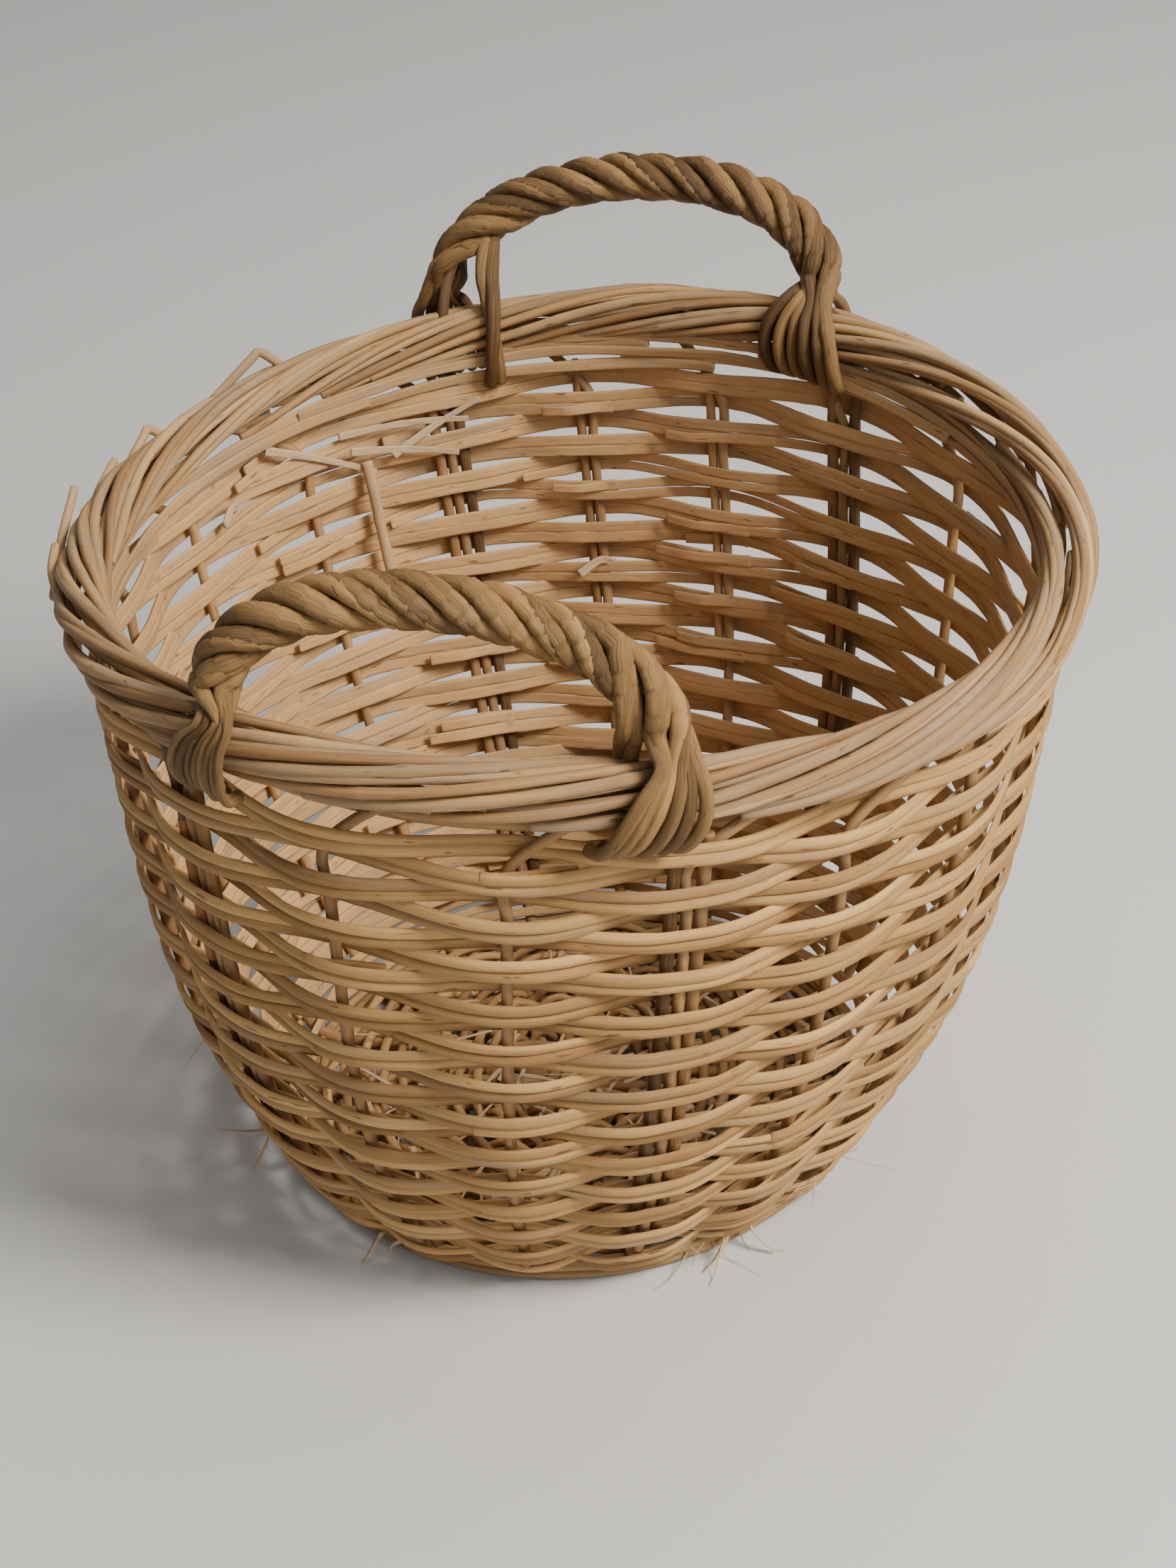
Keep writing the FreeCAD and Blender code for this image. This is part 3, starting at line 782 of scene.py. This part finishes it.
def bow(name, feet, lean):
    """The rod inside the rope, with its legs down the wall."""
    rng = np.random.default_rng(len(name))
    legs = []
    for degrees in feet:
        top = wall(degrees, 1.0, BORDER_PASS, LEG_SIDE)
        legs.append(list(wall(degrees, LEVELS, 0.0, LEG_SIDE)) + [top])
    line = smooth_path(legs[0] + list(arch(feet, lean)[::8]) + legs[1][::-1])
    bundle = Bundle()
    sweep(bundle, line, radial(line), BOW_SIZE, BOW_SIZE, rng, tone=(0.35, 0.0, 0.1), rough=0.06)
    bundle.make(name + "_bow", HANDLE, "willow_handle", ["handle_%s_bow" % name])


def byes():
    """The rods beside the stakes at the handle feet, and the thinner pair between the far handle's feet."""
    rng = np.random.default_rng(900)
    bundle = Bundle()
    levels = np.append(LEVELS, 0.925)
    for degrees in FRONT_FEET + BACK_FEET:
        line = smooth_path(wall(degrees, levels, 0.0, BYE_SIDE))
        sweep(bundle, line, radial(line), BYE_SIZE, BYE_SIZE, rng, tone=(0.3, 0.0, 0.1), rough=0.06)
    bundle.make("bye_stakes", STAKE, "willow_handle", ["bye_rods"])
    thin_pair = Bundle()
    upper_levels = np.linspace(0.45, 0.93, 8)
    for degrees in DOUBLED:
        line = smooth_path(wall(degrees, upper_levels, 0.0, BYE_SIDE - 0.4))
        sweep(thin_pair, line, radial(line), SECOND_STAKE_SIZE, SECOND_STAKE_SIZE, rng,
              tone=(0.35, 0.0, 0.1), rough=0.06)
    thin_pair.make("second_stakes", STAKE, "willow_handle", ["doubled_stakes"])


# ---- wear: broken pieces, shreds and fibres ----
def shreds():
    """Chips and torn fibres that lie in the bottom."""
    rng = np.random.default_rng(1000)
    for heap in range(HEAPS):
        bundle = Bundle()
        for _ in range(HEAP_SHREDS):
            radius = HEAP_RADIUS * math.sqrt(rng.random())
            place = base_point(rng.uniform(0, 360), radius, BASE_LEVEL + 7.5 + rng.uniform(0, 4.5))
            heading = rng.uniform(0, 2 * math.pi)
            length = rng.uniform(7, 30)
            ahead = np.array([math.cos(heading), math.sin(heading), rng.uniform(-0.12, 0.2)])
            curl = np.array([-math.sin(heading), math.cos(heading), rng.uniform(0, 0.5)])
            curl = curl * rng.uniform(-0.2, 0.2)
            share = np.linspace(-0.5, 0.5, 7)[:, None]
            line = place + ahead * share * length + curl * (share ** 2) * length
            sweep(bundle, even(line, 3.0), (0.1, 0, 1), rng.uniform(0.8, 4.2), rng.uniform(0.5, 1.1), rng,
                  section=round_section(6), tone=(0.6, 0.5, 0.0), rough=0.1, taper=(1.0, 0.4), twist=0.6)
        bundle.make("shreds_%d" % (heap + 1), SHRED, "willow_split")


def broken_pieces():
    """A snapped bye-stake with torn pieces inside the far left wall, stubs, and bark left on a handle leg."""
    rng = np.random.default_rng(1100)
    bundle = Bundle()
    bends = np.array([-9.0, -10.5, -10.0, -11.0, -13.0])
    line = smooth_path(wall(132.0, np.linspace(0.84, 0.64, len(bends)), bends), 1.5)
    sweep(bundle, line, radial(line), 5.4, 5.0, rng, tone=(0.3, 0.3, 0.0), rough=0.08)
    for first, last, out in (((135.0, 0.90), (117.0, 0.87), -9.0), ((134.0, 0.87), (119.0, 0.82), -11.5),
                             ((128.0, 0.84), (115.0, 0.90), -10.0), ((146.0, 0.93), (131.0, 0.82), -8.5)):
        share = np.linspace(0, 1, 6)
        places = first[0] + (last[0] - first[0]) * share
        levels = first[1] + (last[1] - first[1]) * share
        line = smooth_path(wall(places, levels, out + 1.5 * np.sin(3 * share)), 1.5)
        sweep(bundle, line, radial(line), 4.6, 2.6, rng, section=split_section(), tone=(0.7, 0.4, 0.0),
              rough=0.1, taper=(0.9, 0.6), ragged=0.15)
    # place in degrees and level
    stubs = ((152.0, 0.86), (205.0, 0.8), (28.0, 0.85), (98.0, 0.6), (268.0, 0.8), (330.0, 0.86))
    for degrees, level in stubs:
        line = smooth_path([wall(degrees, level, -4.0), wall(degrees + 2.0, level + 0.01, -8.0),
                            wall(degrees + 5.0, level + rng.uniform(-0.02, 0.04), -12.0)], 1.5)
        sweep(bundle, line, radial(line), 4.6, 3.0, rng, section=split_section(), tone=(0.6, 0.5, 0.0),
              rough=0.1)
    bundle.make("broken_pieces", SHRED, "willow_stake")
    bark = Bundle()
    line = smooth_path(wall(FRONT_FEET[0], np.linspace(0.60, 0.83, 7), 0.3, LEG_SIDE + 0.2))
    sweep(bark, line, radial(line), 6.6, 6.6, rng, rough=0.08, taper=(0.92, 0.9))
    bark.make("bark_patch", BARK, "willow_handle")


def frays():
    """Fine torn fibres that stand off the foot and the lower wall."""
    rng = np.random.default_rng(1200)
    bundle = Bundle()
    # middle and width in degrees, level, and number of fibres
    tufts = ((316.0, 14.0, 0.045, 11), (334.0, 10.0, 0.10, 6), (212.0, 8.0, 0.3, 5), (226.0, 8.0, 0.16, 5),
             (250.0, 12.0, 0.05, 3))
    for middle, width, level, count in tufts:
        for _ in range(count):
            degrees = middle + rng.uniform(-0.5, 0.5) * width
            root = wall(degrees, level + rng.uniform(-0.02, 0.03), 4.0)
            outward, sideways, _ = wall_axes(degrees, level)
            ahead = unit(outward * rng.uniform(0.2, 0.9) + sideways * rng.uniform(-1.6, 1.6)
                         + np.array([0, 0, rng.uniform(-0.6, 0.3)]))
            reach = rng.uniform(5.0, 24.0)
            bend = rng.uniform(-0.5, 0.5, 3)
            share = np.linspace(0, 1, 6)[:, None]
            line = root + ahead * share * reach + bend * share ** 2 * reach
            line[:, 2] = np.maximum(line[:, 2], 1.0)
            width_across = rng.choice((0.6, 1.0, 2.6))
            sweep(bundle, even(line, 2.5), (0.1, 0.2, 1), width_across, rng.uniform(0.4, 0.8), rng,
                  section=round_section(5), tone=(0.7, 0.6, 0.0), taper=(1.0, 0.3), twist=0.5)
    bundle.make("frayed_fibres", SHRED, "willow_split")


# ---- light, floor and camera; lengths are metres here ----
CAMERA_AZIMUTH = math.radians(16.55)
CAMERA_HEIGHT = math.radians(33.18)
CAMERA_ROLL = math.radians(-5.05)
CAMERA_DISTANCE = 1.4046
CAMERA_ACROSS = -0.0062
CAMERA_UP = 0.1418
LENS = 69.48                # mm
SENSOR = 36.0               # mm
FLOOR_HALF = 40.0


def camera():
    """The view: from the front, a little to the right, looking down."""
    back = Vector((math.sin(CAMERA_AZIMUTH) * math.cos(CAMERA_HEIGHT),
                   -math.cos(CAMERA_AZIMUTH) * math.cos(CAMERA_HEIGHT), math.sin(CAMERA_HEIGHT)))
    right = Vector((math.cos(CAMERA_AZIMUTH), math.sin(CAMERA_AZIMUTH), 0))
    up = back.cross(right)
    turned = right * math.cos(CAMERA_ROLL) + up * math.sin(CAMERA_ROLL)
    upright_axis = up * math.cos(CAMERA_ROLL) - right * math.sin(CAMERA_ROLL)
    data = bpy.data.cameras.new("camera")
    data.lens = LENS
    data.sensor_width = SENSOR
    made = bpy.data.objects.new("camera", data)
    place = back * CAMERA_DISTANCE + turned * CAMERA_ACROSS + upright_axis * CAMERA_UP
    place = place + Vector(BOX_SHIFT * MM)
    turn = Matrix((turned, upright_axis, back)).transposed().to_4x4()
    made.matrix_world = Matrix.Translation(place) @ turn
    bpy.context.collection.objects.link(made)
    bpy.context.scene.camera = made


def area_light(name, place, target, size, power, colour):
    """A soft square light; places and size are in metres."""
    data = bpy.data.lights.new(name, "AREA")
    data.size = size
    data.energy = power
    data.color = colour
    made = bpy.data.objects.new(name, data)
    made.location = place
    made.rotation_euler = (Vector(target) - Vector(place)).to_track_quat("-Z", "Y").to_euler()
    bpy.context.collection.objects.link(made)


def studio():
    """A plain floor under a key light from the upper right, a weak fill and a top light."""
    mesh = bpy.data.meshes.new("floor")
    corners = [(x * FLOOR_HALF, y * FLOOR_HALF, 0) for x, y in ((-1, -1), (1, -1), (1, 1), (-1, 1))]
    mesh.from_pydata(corners, [], [(0, 1, 2, 3)])
    floor = bpy.data.objects.new("floor", mesh)
    bpy.context.collection.objects.link(floor)
    material = bpy.data.materials.new("floor")
    material.use_nodes = True
    shader = material.node_tree.nodes["Principled BSDF"]
    shader.inputs["Base Color"].default_value = (0.56, 0.55, 0.53, 1)
    shader.inputs["Roughness"].default_value = 0.8
    mesh.materials.append(material)
    area_light("key", (1.95, -0.6, 2.1), (0, 0, 0.2), 0.95, 140.0, (1.0, 0.965, 0.91))
    area_light("fill", (1.6, -2.1, 1.4), (0, 0, 0.15), 1.6, 22.0, (0.96, 0.97, 1.0))
    area_light("top", (0.2, 0.7, 2.4), (0, 0, 0.1), 1.8, 22.0, (1.0, 0.99, 0.97))
    world = bpy.data.worlds.new("world")
    world.use_nodes = True
    background = world.node_tree.nodes["Background"]
    background.inputs["Color"].default_value = (0.86, 0.88, 0.92, 1)
    background.inputs["Strength"].default_value = 0.25
    bpy.context.scene.world = world


camera()
studio()
for number in range(STAKES):
    upright(number)
    border_rods(number)
for number in range(1, COURSES + 1):
    course(number)
foot_rounds()
base()
rope("front", FRONT_FEET, FRONT_LEAN, entries=(12.0, 0.0), drifts=(1.0, -16.0), slots=(3.9, 5.7),
     early=(0.0, -16.5), inside=(0, 2), seed=41)
rope("back", BACK_FEET, BACK_LEAN, entries=(0.0, 0.0), drifts=(-6.0, 0.0), slots=(4.6, 5.6),
     early=(0.0, -21.5), inside=(6, 2), seed=42)
bow("front", FRONT_FEET, FRONT_LEAN)
bow("back", BACK_FEET, BACK_LEAN)
byes()
border_packing()
shreds()
broken_pieces()
frays()
